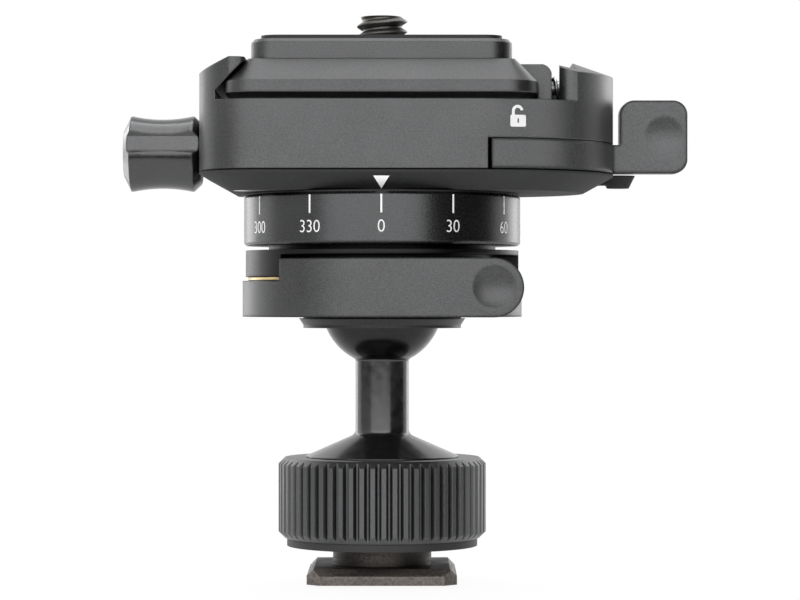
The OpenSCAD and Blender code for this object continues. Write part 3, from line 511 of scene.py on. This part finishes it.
def turned(name, colour, metallic=1.0, rough=(0.26, 0.42), rings=5200.0, contrast=0.15, edge=0.15 * MM,
           bright=1.6, reach=1.5 * MM, painted_gap_shade=0.15, bump=0.12):
    """Turned metal: fine rings across the height, broken edges lightened as a painted highlight, and
    painted shade in gaps.
    """
    material, tree, shader = blank_material(name)
    place = tree.nodes.new("ShaderNodeTexCoord").outputs["Object"]
    mapping = tree.nodes.new("ShaderNodeMapping")
    mapping.inputs["Scale"].default_value = RING_STRETCH
    link(tree, place, mapping.inputs["Vector"])
    ring = noise_node(tree, mapping.outputs["Vector"], rings)
    skin = place_group(tree, grain_group(), Grain=2600.0, Cloud=220.0)
    rim = place_group(tree, edge_group(), Radius=edge)
    body = two_tones(tree, skin.outputs["Tone"], colour, contrast)
    # Painted highlight: the broken edges are lightened
    lit = mix_node(tree, rim.outputs["Edge"], body, toned(colour, bright))
    gap = place_group(tree, crevice_group(), Reach=reach)
    # Painted shade: the colour darkens in narrow gaps
    link(tree, mix_node(tree, gap.outputs["Open"], toned(colour, painted_gap_shade), lit),
         shader.inputs["Base Color"])
    link(tree, range_node(tree, ring, *NOISE_SPAN, *rough), shader.inputs["Roughness"])
    link(tree, bump_node(tree, ring, rim.outputs["Normal"], bump, RING_RELIEF), shader.inputs["Normal"])
    shader.inputs["Metallic"].default_value = metallic
    return material


def printed(name, colour, thin=0.93, thick=1.04, rough=(0.45, 0.6)):
    """Ink with slightly uneven cover."""
    material, tree, shader = blank_material(name)
    skin = place_group(tree, grain_group(), Grain=5200.0, Cloud=400.0)
    link(tree, mix_node(tree, skin.outputs["Tone"], toned(colour, thin), toned(colour, thick)),
         shader.inputs["Base Color"])
    link(tree, range_node(tree, skin.outputs["Tone"], 0, 1, *rough), shader.inputs["Roughness"])
    return material


# The maker, the colour and the values of each material slot; grain and rings are noise scales per metre
FINISHES = {
    "black_anodised": (blasted, "anodised_black", {}),
    "scale_black": (blasted, "scale_black",
                    {"grain": 6500.0, "contrast": 0.25, "rough": (0.2, 0.32), "bump": 0.3}),
    "gloss_black": (polished, "ball_black", {}),
    "wheel_satin": (blasted, "wheel_grey", {"contrast": 0.2, "rough": (0.32, 0.46), "edge": 0.1 * MM}),
    # The foot's long reach darkens its top under the wheel and ring as painted shade
    "foot_steel": (turned, "foot_steel",
                   {"metallic": 0.9, "rough": (0.38, 0.6), "contrast": 0.5, "reach": 7 * MM}),
    "black_screw": (turned, "screw_black", {"metallic": 0.8, "rough": (0.3, 0.45), "rings": 3000.0}),
    "brass": (turned, "brass_washer", {}),
    "steel": (turned, "plain_steel", {}),
    "nylon": (moulded, "nylon_cup", {}),
    "black_plastic": (moulded, "glide_black", {}),
    "rubber": (moulded, "pad_rubber", {}),
    "white_print": (printed, "print_white", {}),
}

# Other values of a slot's finish on single nodes; a hairline of painted shadow is drawn at the top of the
# named node
VARIANTS = {
    "ball": {"depth": 0.4},
    # The housing's anodised black is darkened to 0.22 of itself as painted shade, for the recess it sits in
    "ball_housing": {"depth": 0.22},
    "socket_ring": {"depth": 0.55},
    "pan_lock_knob": {"rough": (0.12, 0.2), "bump": 0.3, "contrast": 0.2},
    # The levers' edges are darkened as painted shade of a dark chamfer
    "quick_release_lever": {"edge": 0.7 * MM, "edge_wear_and_painted_light": 0.25},
    "lock_lever_ring": {"edge": 0.5 * MM, "edge_wear_and_painted_light": 0.08},
    "base_plate": {"seam": "base_plate", "rough": (0.85, 0.98), "reach": 0.4 * MM},
    "clamp_body": {"seam": "base_plate"},
}


def finish(slot, node=""):
    """The material of a slot, or of a node with a variant of it, made when it is first asked for."""
    name = (node if node in VARIANTS else slot) + "_finish"
    if name not in bpy.data.materials:
        maker, shade, values = FINISHES[slot]
        colour = tuple(getattr(settings("ballhead_colours"), shade))
        maker(name, colour, **{**values, **VARIANTS.get(node, {})})
    return bpy.data.materials[name]


def new_piece(name, shape, body, slot):
    """Makes a bmesh into a finished piece that rides on a body."""
    mesh = bpy.data.meshes.new(name)
    shape.to_mesh(mesh)
    shape.free()
    mesh.materials.append(finish(slot))
    piece = bpy.data.objects.new(name, mesh)
    bpy.context.scene.collection.objects.link(piece)
    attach(piece, body)
    return piece


def words_drawing(words, height, thinning):
    """A flat drawing of centred words in the XY plane, of the given height."""
    curve = bpy.data.curves.new("numeral", "FONT")
    curve.body = words
    curve.align_x = "CENTER"
    curve.resolution_u = 4
    curve.offset = -thinning
    holder = bpy.data.objects.new("numeral", curve)
    bpy.context.scene.collection.objects.link(holder)
    bpy.context.view_layer.update()
    drawn = bpy.data.meshes.new_from_object(holder.evaluated_get(bpy.context.evaluated_depsgraph_get()))
    bpy.data.objects.remove(holder)
    bpy.data.curves.remove(curve)
    shape = bmesh.new()
    shape.from_mesh(drawn)
    bpy.data.meshes.remove(drawn)
    bmesh.ops.remove_doubles(shape, verts=shape.verts, dist=1e-5)
    low = min(v.co.y for v in shape.verts)
    tall = max(v.co.y for v in shape.verts) - low
    across = (min(v.co.x for v in shape.verts) + max(v.co.x for v in shape.verts)) / 2
    bmesh.ops.translate(shape, verts=shape.verts, vec=(-across, -low - tall / 2, 0))
    bmesh.ops.scale(shape, verts=shape.verts, vec=(height / tall,) * 3)
    return shape


def raise_flat(shape, thickness):
    """Gives a flat drawing in the XY plane its thickness, from -thickness to +thickness."""
    bmesh.ops.recalc_face_normals(shape, faces=shape.faces)
    bmesh.ops.translate(shape, verts=shape.verts, vec=(0, 0, -thickness))
    made = bmesh.ops.extrude_face_region(shape, geom=list(shape.faces), use_keep_orig=True)
    top = [item for item in made["geom"] if isinstance(item, bmesh.types.BMVert)]
    bmesh.ops.translate(shape, verts=top, vec=(0, 0, 2 * thickness))
    bmesh.ops.recalc_face_normals(shape, faces=shape.faces)


def add_into(target, shape):
    """Adds one bmesh to another."""
    mesh = bpy.data.meshes.new("part")
    shape.to_mesh(mesh)
    shape.free()
    target.from_mesh(mesh)
    bpy.data.meshes.remove(mesh)


def wrap_round(shape, centre, radius, angle, height):
    """Bends an XY drawing round an upright cylinder, at an angle counted from the front to the right."""
    marks = settings("ballhead_marks")
    left = min(vert.co.x for vert in shape.verts)
    right = max(vert.co.x for vert in shape.verts)
    for strip in range(1, math.ceil((right - left) / marks.bend_step)):
        bmesh.ops.bisect_plane(shape, geom=[*shape.verts, *shape.edges, *shape.faces],
                               plane_co=(left + strip * marks.bend_step, 0, 0), plane_no=(1, 0, 0))
    raise_flat(shape, marks.film)
    for vert in shape.verts:
        turn = angle + vert.co.x / radius
        out = radius + vert.co.z
        vert.co = Vector((centre[0] + out * math.sin(turn), centre[1] - out * math.cos(turn),
                          height + vert.co.y))


def bar_drawing(width, height):
    """A flat upright bar in the XY plane, centred."""
    shape = bmesh.new()
    bmesh.ops.create_grid(shape, x_segments=1, y_segments=1, size=0.5)
    bmesh.ops.scale(shape, verts=shape.verts, vec=(width, height, 1))
    return shape


class BALLHEAD_OT_finishes(Operator):
    """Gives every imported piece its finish"""

    bl_idname = "ballhead.finishes"
    bl_label = "Finishes"

    def execute(self, context):
        for entry in frame["record"]["subparts"]:
            mesh = frame["nodes"][entry["node"]].data
            mesh.materials.clear()
            mesh.materials.append(finish(entry["material_slot"], entry["node"]))
        return {"FINISHED"}


class BALLHEAD_OT_scale_marks(Operator):
    """Prints the degree marks and numbers round the scale ring"""

    bl_idname = "ballhead.scale_marks"
    bl_label = "Degree marks"

    def execute(self, context):
        marks = settings("ballhead_marks")
        top = top_of("scale_ring")
        radius = radius_of("scale_ring")
        shape = bmesh.new()
        for degrees in range(0, 360, marks.step):
            angle = math.radians(degrees)
            tick = bar_drawing(marks.tick_width, marks.tick_length)
            wrap_round(tick, (0, 0), radius, angle, top - marks.tick_margin - marks.tick_length / 2)
            add_into(shape, tick)
            number = words_drawing(str(degrees), marks.numeral_height, marks.numeral_thinning)
            bmesh.ops.scale(number, verts=number.verts, vec=(marks.numeral_squeeze, 1, 1))
            wrap_round(number, (0, 0), radius, angle, top - marks.numeral_drop)
            add_into(shape, number)
        new_piece("degree_marks", shape, "housing", "white_print")
        return {"FINISHED"}


class BALLHEAD_OT_index_mark(Operator):
    """Prints the index triangle on the base plate's bevel"""

    bl_idname = "ballhead.index_mark"
    bl_label = "Index mark"

    def execute(self, context):
        marks = settings("ballhead_marks")
        low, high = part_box("base_plate")
        foot = Vector((0, low.y + marks.bevel_run, low.z))
        rise = Vector((0, low.y, high.z - marks.lip_height)) - foot
        half = marks.index_width / 2
        tip, wide = marks.index_foot * rise.length, marks.index_head * rise.length
        shape = bmesh.new()
        shape.faces.new([shape.verts.new((x, y, 0)) for x, y in ((-half, wide), (0, tip), (half, wide))])
        raise_flat(shape, marks.film)
        across, up = Vector((1, 0, 0)), rise.normalized()
        turn = Matrix((across, up, across.cross(up))).transposed().to_4x4()
        bmesh.ops.transform(shape, matrix=Matrix.Translation(foot) @ turn, verts=shape.verts)
        new_piece("index_mark", shape, "clamp", "white_print")
        return {"FINISHED"}


def padlock_drawing(width, tall):
    """A flat open padlock in the XY plane: a body with a keyhole and a shackle swung open."""
    shape = bmesh.new()
    bmesh.ops.create_grid(shape, x_segments=3, y_segments=3, size=0.5)
    for vert in shape.verts:
        for axis, half in enumerate(KEYHOLE):
            if abs(vert.co[axis]) < 0.4:
                vert.co[axis] = math.copysign(half, vert.co[axis])
    corners = [vert for vert in shape.verts if len(vert.link_faces) == 1]
    middle = [face for face in shape.faces if face.calc_center_median().length < 0.01]
    bmesh.ops.delete(shape, geom=middle, context="FACES")
    bmesh.ops.scale(shape, verts=shape.verts, vec=(width, tall, 1))
    bmesh.ops.bevel(shape, geom=corners, offset=PADLOCK_CORNER * width, offset_type="OFFSET",
                    affect="VERTICES", segments=5, profile=0.5, material=-1)
    bar, bend = SHACKLE_BAR * width, SHACKLE_BEND * width
    centre = Vector((SHACKLE_PLACE[0] * width, tall / 2 + SHACKLE_PLACE[1] * width, 0))
    leg = centre.y - tall / 2 + SHACKLE_SINK * width
    ends = [shape.verts.new(centre + Vector((-bend + side * bar / 2, -leg, 0))) for side in (-1, 1)]
    foot = shape.edges.new(ends)
    made = bmesh.ops.extrude_edge_only(shape, edges=[foot])["geom"]
    top = [item for item in made if isinstance(item, bmesh.types.BMVert)]
    bmesh.ops.translate(shape, verts=top, vec=(0, leg, 0))
    start = [item for item in made if isinstance(item, bmesh.types.BMEdge) and set(item.verts) == set(top)]
    bmesh.ops.spin(shape, geom=[*top, *start], cent=centre, axis=(0, 0, -1), dvec=(0, 0, 0),
                   angle=SHACKLE_SWING, steps=SHACKLE_STEPS, use_merge=False)
    return shape


class BALLHEAD_OT_padlock(Operator):
    """Prints the open padlock on the clamp's round end"""

    bl_idname = "ballhead.padlock"
    bl_label = "Padlock mark"

    def execute(self, context):
        marks = settings("ballhead_marks")
        low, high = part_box("clamp_body")
        radius = (high.y - low.y) / 2
        shape = padlock_drawing(marks.padlock_width, marks.padlock_height)
        wrap_round(shape, (high.x - radius, 0), radius, math.asin(marks.padlock_across / radius),
                   low.z + marks.padlock_rise)
        new_piece("padlock_mark", shape, "clamp", "white_print")
        return {"FINISHED"}


def arc_points(centre, radius, start, end, steps):
    """Points of an arc in the plane of radius and height, between two angles."""
    turns = [start + (end - start) * step / steps for step in range(steps + 1)]
    return [(centre[0] + radius * math.cos(turn), centre[1] + radius * math.sin(turn)) for turn in turns]


class BALLHEAD_OT_ball_stem(Operator):
    """Turns the stem with its fillets to the ball and to the flared base"""

    bl_idname = "ballhead.ball_stem"
    bl_label = "Ball stem"

    def execute(self, context):
        stem = settings("ballhead_stem")
        low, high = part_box("ball_stem")
        ball_r = radius_of("ball")
        middle = top_of("ball") - ball_r
        flare_r = high.x
        flare_foot = top_of("shoe_lock_wheel") + stem.play
        cone = math.atan2(stem.flare_height - stem.flare_lip, flare_r - stem.radius)
        bend = stem.flare_fillet
        tangent = bend * math.tan((math.pi / 2 - cone) / 2)
        corner = flare_foot + stem.flare_height
        rise = stem.ball_fillet
        skin = ball_r + stem.play
        drop = math.sqrt((skin + rise) ** 2 - (stem.radius + rise) ** 2)
        lean = math.atan2(drop, stem.radius + rise)
        flat = middle - math.sqrt(skin ** 2 - stem.radius ** 2)
        profile = [(0, low.z), (stem.stud_radius, low.z), (stem.stud_radius, flare_foot)]
        profile += [(flare_r, flare_foot), (flare_r, flare_foot + stem.flare_lip)]
        profile += arc_points((stem.radius + bend, corner + tangent), bend, 1.5 * math.pi - cone, math.pi,
                              FLARE_STEPS)
        profile += arc_points((stem.radius + rise, middle - drop), rise, math.pi, math.pi - lean,
                              FILLET_STEPS)
        end = -math.acos(stem.radius / skin)
        profile += arc_points((0, middle), skin, -lean, end, SEAT_STEPS)[1:]
        profile += [(stem.stud_radius, flat), (stem.stud_radius, high.z), (0, high.z)]
        shape = bmesh.new()
        points = [shape.verts.new((r, 0, z)) for r, z in profile]
        line = [shape.edges.new(pair) for pair in zip(points, points[1:])]
        bmesh.ops.spin(shape, geom=[*points, *line], cent=(0, 0, 0), axis=(0, 0, 1), dvec=(0, 0, 0),
                       angle=2 * math.pi, steps=ROUND_STEPS, use_merge=True)
        bmesh.ops.remove_doubles(shape, verts=shape.verts, dist=1e-7)
        bmesh.ops.recalc_face_normals(shape, faces=shape.faces)
        for face in shape.faces:
            face.smooth = True
        for edge in shape.edges:
            edge.smooth = edge.calc_face_angle(0) <= SHARP_ANGLE
        piece = new_piece("ball_stem_turned", shape, "foot", "gloss_black")
        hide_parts("ball_stem")
        return {"FINISHED"}


class BALLHEAD_OT_jaw_springs(Operator):
    """Winds the two springs that press the jaw on the plate"""

    bl_idname = "ballhead.jaw_springs"
    bl_label = "Jaw springs"

    def execute(self, context):
        springs = settings("ballhead_springs")
        low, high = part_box("jaw_springs")
        whole = high.x - low.x
        run = whole - springs.wire
        middle_z = (low.z + high.z) / 2
        middle_y = high.y - springs.radius - springs.wire / 2
        steps = springs.turn_steps * springs.turns
        shape = bmesh.new()
        for side in (-1, 1):
            place = Vector((low.x + springs.wire / 2, side * middle_y, middle_z))
            ring = bmesh.ops.create_circle(shape, segments=springs.wire_sides, radius=springs.wire / 2)
            loop = ring["verts"]
            bmesh.ops.translate(shape, verts=loop, vec=place + Vector((0, springs.radius, 0)))
            rim = list({edge for vert in loop for edge in vert.link_edges})
            bmesh.ops.spin(shape, geom=[*loop, *rim], cent=place, axis=(1, 0, 0), dvec=(run / steps, 0, 0),
                           angle=2 * math.pi * springs.turns, steps=steps, use_merge=False)
        bmesh.ops.holes_fill(shape, edges=[edge for edge in shape.edges if edge.is_boundary], sides=0)
        bmesh.ops.recalc_face_normals(shape, faces=shape.faces)
        for face in shape.faces:
            face.smooth = len(face.verts) == 4
        piece = new_piece("jaw_springs_coiled", shape, "clamp", "steel")
        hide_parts("jaw_springs")
        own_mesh(piece)
        return {"FINISHED"}


class BALLHEAD_OT_camera_screw(Operator):
    """Cuts the camera screw's thread"""

    bl_idname = "ballhead.camera_screw"
    bl_label = "Camera screw"

    def execute(self, context):
        thread = settings("ballhead_thread")
        low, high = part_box("camera_screw")
        head_r = (high.x - low.x) / 2
        head_top = low.z + thread.head_height
        root = thread.radius - thread.depth
        start = head_top - thread.pitch
        turns = math.ceil((high.z - start) / thread.pitch) + 1
        shape = bmesh.new()
        points = [shape.verts.new((root + share * thread.depth, 0, start - along * thread.pitch))
                  for share, along in THREAD_SECTION]
        line = [shape.edges.new(pair) for pair in zip(points, points[1:])]
        bmesh.ops.spin(shape, geom=[*points, *line], cent=(0, 0, 0), axis=(0, 0, 1),
                       dvec=(0, 0, thread.pitch / thread.steps), angle=2 * math.pi * turns,
                       steps=thread.steps * turns, use_merge=False)
        bmesh.ops.remove_doubles(shape, verts=shape.verts, dist=1e-6)
        for height, side in ((high.z, 1), (head_top - thread.head_overlap, -1)):
            cut = bmesh.ops.bisect_plane(shape, geom=[*shape.verts, *shape.edges, *shape.faces],
                                         plane_co=(0, 0, height), plane_no=(0, 0, side), clear_outer=True)
            rim = [item for item in cut["geom_cut"] if isinstance(item, bmesh.types.BMEdge)]
            bmesh.ops.edgeloop_fill(shape, edges=rim)
        for vert in shape.verts:
            limit = thread.radius - max(0.0, vert.co.z - (high.z - thread.lead_in))
            out = vert.co.xy.length
            if out > limit:
                vert.co.xy *= limit / out
        head = bmesh.new()
        bmesh.ops.create_cone(head, cap_ends=True, segments=HEAD_STEPS, radius1=head_r, radius2=head_r,
                              depth=thread.head_height)
        bmesh.ops.translate(head, verts=head.verts, vec=(0, 0, (head_top + low.z) / 2))
        rims = [edge for edge in head.edges if abs(edge.verts[0].co.z - edge.verts[1].co.z) < 1e-7]
        bmesh.ops.bevel(head, geom=rims, offset=thread.head_round, offset_type="OFFSET", affect="EDGES",
                        segments=3, profile=0.5, material=-1)
        add_into(shape, head)
        bmesh.ops.recalc_face_normals(shape, faces=shape.faces)
        piece = new_piece("camera_screw_threaded", shape, "camera_screw", "black_screw")
        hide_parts("camera_screw")
        return {"FINISHED"}


def area_lamp(name, place, target, size, glow):
    """A rectangular lamp of the given brightness that faces a point."""
    data = bpy.data.lights.new(name, "AREA")
    data.shape = "RECTANGLE"
    data.size, data.size_y = size
    data.energy = math.pi * size[0] * size[1] * glow
    lamp = bpy.data.objects.new(name, data)
    lamp.location = place
    lamp.rotation_mode = "QUATERNION"
    lamp.rotation_quaternion = (Vector(target) - Vector(place)).to_track_quat("-Z", "Y")
    bpy.context.scene.collection.objects.link(lamp)
    return lamp


def light_only(lamp, names):
    """Keeps a lamp's light on the named pieces."""
    pieces = bpy.data.collections.new(lamp.name + "_pieces")
    for name in names:
        pieces.objects.link(bpy.data.objects[name])
    lamp.light_linking.receiver_collection = pieces


def seen_mask(tree, mirror_share=None):
    """One where a ray comes from the camera, through glass or off a gloss, which may count by a share."""
    path = tree.nodes.new("ShaderNodeLightPath")
    direct = math_node(tree, "MAXIMUM", path.outputs["Is Camera Ray"], path.outputs["Is Transmission Ray"])
    mirrored = path.outputs["Is Glossy Ray"]
    if mirror_share is not None:
        mirrored = math_node(tree, "MULTIPLY", mirrored, mirror_share)
    return math_node(tree, "MAXIMUM", direct, mirrored)


class BALLHEAD_OT_studio(Operator):
    """Sets up the floor, the white surround, the lamps and the camera"""

    bl_idname = "ballhead.studio"
    bl_label = "Studio"

    def execute(self, context):
        studio = settings("ballhead_studio")
        scene = context.scene
        scene.view_settings.view_transform = "Standard"
        camera_data = bpy.data.cameras.new("photo_camera")
        camera_data.sensor_width = SENSOR_WIDTH
        camera_data.lens = studio.camera_lens
        camera_data.clip_start, camera_data.clip_end = CLIP_RANGE
        camera = bpy.data.objects.new("photo_camera", camera_data)
        camera.location = studio.camera_place
        camera.rotation_euler = (math.pi / 2, 0, 0)
        scene.collection.objects.link(camera)
        scene.camera = camera
        self.floor(scene)
        self.surround(scene)
        for name, glow, place, target, size in LAMPS:
            lamp = area_lamp(name, place, target, size, getattr(studio, glow))
            if name in LIT_ALONE:
                light_only(lamp, LIT_ALONE[name])
        return {"FINISHED"}

    def floor(self, scene):
        """A white disc that shows a trace of the contact shadow."""
        studio = settings("ballhead_studio")
        shape = bmesh.new()
        bmesh.ops.create_circle(shape, cap_ends=True, segments=ROUND_STEPS, radius=studio.floor_radius)
        mesh = bpy.data.meshes.new("studio_floor")
        shape.to_mesh(mesh)
        shape.free()
        floor = bpy.data.objects.new("studio_floor", mesh)
        floor.location = (0, 0, -FLOOR_DROP)
        scene.collection.objects.link(floor)
        material, tree, shader = blank_material("studio_floor")
        shader.inputs["Base Color"].default_value = (FLOOR_WHITE, FLOOR_WHITE, FLOOR_WHITE, 1)
        shader.inputs["Roughness"].default_value = FLOOR_ROUGH
        glow = tree.nodes.new("ShaderNodeEmission")
        blend = tree.nodes.new("ShaderNodeMixShader")
        spot = tree.nodes.new("ShaderNodeVectorMath")
        spot.operation = "LENGTH"
        link(tree, tree.nodes.new("ShaderNodeTexCoord").outputs["Object"], spot.inputs[0])
        near = range_node(tree, spot.outputs["Value"], *SHADOW_SPAN, 1 - studio.shadow, 1.0)
        link(tree, math_node(tree, "MULTIPLY", seen_mask(tree), near), blend.inputs[0])
        link(tree, shader.outputs[0], blend.inputs[1])
        link(tree, glow.outputs[0], blend.inputs[2])
        output = next(n for n in tree.nodes if n.type == "OUTPUT_MATERIAL")
        link(tree, blend.outputs[0], output.inputs["Surface"])
        mesh.materials.append(material)

    def surround(self, scene):
        """A white backdrop for the camera, and a room that is bright behind and dark in front."""
        studio = settings("ballhead_studio")
        world = bpy.data.worlds.new("studio_surround")
        scene.world = world
        world.use_nodes = True
        tree = world.node_tree
        tree.nodes.clear()
        output = tree.nodes.new("ShaderNodeOutputWorld")
        way = tree.nodes.new("ShaderNodeTexCoord")
        parts = tree.nodes.new("ShaderNodeSeparateXYZ")
        link(tree, way.outputs["Generated"], parts.inputs[0])
        room = range_node(tree, parts.outputs["Y"], *BACKDROP_SPAN, studio.front_light, studio.rear_light)
        backdrop = range_node(tree, parts.outputs["Y"], *BACKDROP_SPAN)
        white = tree.nodes.new("ShaderNodeBackground")
        white.inputs["Color"].default_value = (1, 1, 1, 1)
        white.inputs["Strength"].default_value = 1.0
        soft = tree.nodes.new("ShaderNodeBackground")
        soft.inputs["Color"].default_value = (1, 1, 1, 1)
        link(tree, room, soft.inputs["Strength"])
        blend = tree.nodes.new("ShaderNodeMixShader")
        link(tree, seen_mask(tree, backdrop), blend.inputs[0])
        link(tree, soft.outputs[0], blend.inputs[1])
        link(tree, white.outputs[0], blend.inputs[2])
        link(tree, blend.outputs[0], output.inputs["Surface"])


class BALLHEAD_PT_panel(Panel):
    """Lists the steps that dress the ball head"""

    bl_idname = "BALLHEAD_PT_panel"
    bl_label = "Reverse Ball Head"
    bl_space_type = "VIEW_3D"
    bl_region_type = "UI"
    bl_category = "Ball Head"

    def draw(self, context):
        for step in STEPS:
            self.layout.operator(step.bl_idname)
        for name in GROUPS:
            box = self.layout.box()
            group = getattr(context.scene, name)
            for key in group.bl_rna.properties.keys():
                if key not in ("rna_type", "name"):
                    box.prop(group, key)


STEPS = (
    BALLHEAD_OT_finishes,
    BALLHEAD_OT_scale_marks,
    BALLHEAD_OT_index_mark,
    BALLHEAD_OT_padlock,
    BALLHEAD_OT_ball_stem,
    BALLHEAD_OT_jaw_springs,
    BALLHEAD_OT_camera_screw,
    BALLHEAD_OT_studio,
)
GROUPS = {
    "ballhead_colours": BALLHEAD_PG_colours,
    "ballhead_marks": BALLHEAD_PG_marks,
    "ballhead_stem": BALLHEAD_PG_stem,
    "ballhead_springs": BALLHEAD_PG_springs,
    "ballhead_thread": BALLHEAD_PG_thread,
    "ballhead_studio": BALLHEAD_PG_studio,
}
CLASSES = (*GROUPS.values(), *STEPS, BALLHEAD_PT_panel)


def register():
    """Adds the classes, and the settings to the scene."""
    for item in CLASSES:
        bpy.utils.register_class(item)
    for name, group in GROUPS.items():
        setattr(bpy.types.Scene, name, PointerProperty(type=group))


def unregister():
    """Takes the settings and the classes away again."""
    for name in GROUPS:
        delattr(bpy.types.Scene, name)
    for item in reversed(CLASSES):
        bpy.utils.unregister_class(item)


def main():
    """Dresses the part."""
    register()
    bpy.ops.ballhead.finishes()
    bpy.ops.ballhead.scale_marks()
    bpy.ops.ballhead.index_mark()
    bpy.ops.ballhead.padlock()
    bpy.ops.ballhead.ball_stem()
    bpy.ops.ballhead.jaw_springs()
    bpy.ops.ballhead.camera_screw()
    bpy.ops.ballhead.studio()


if __name__ == "__main__":
    main()
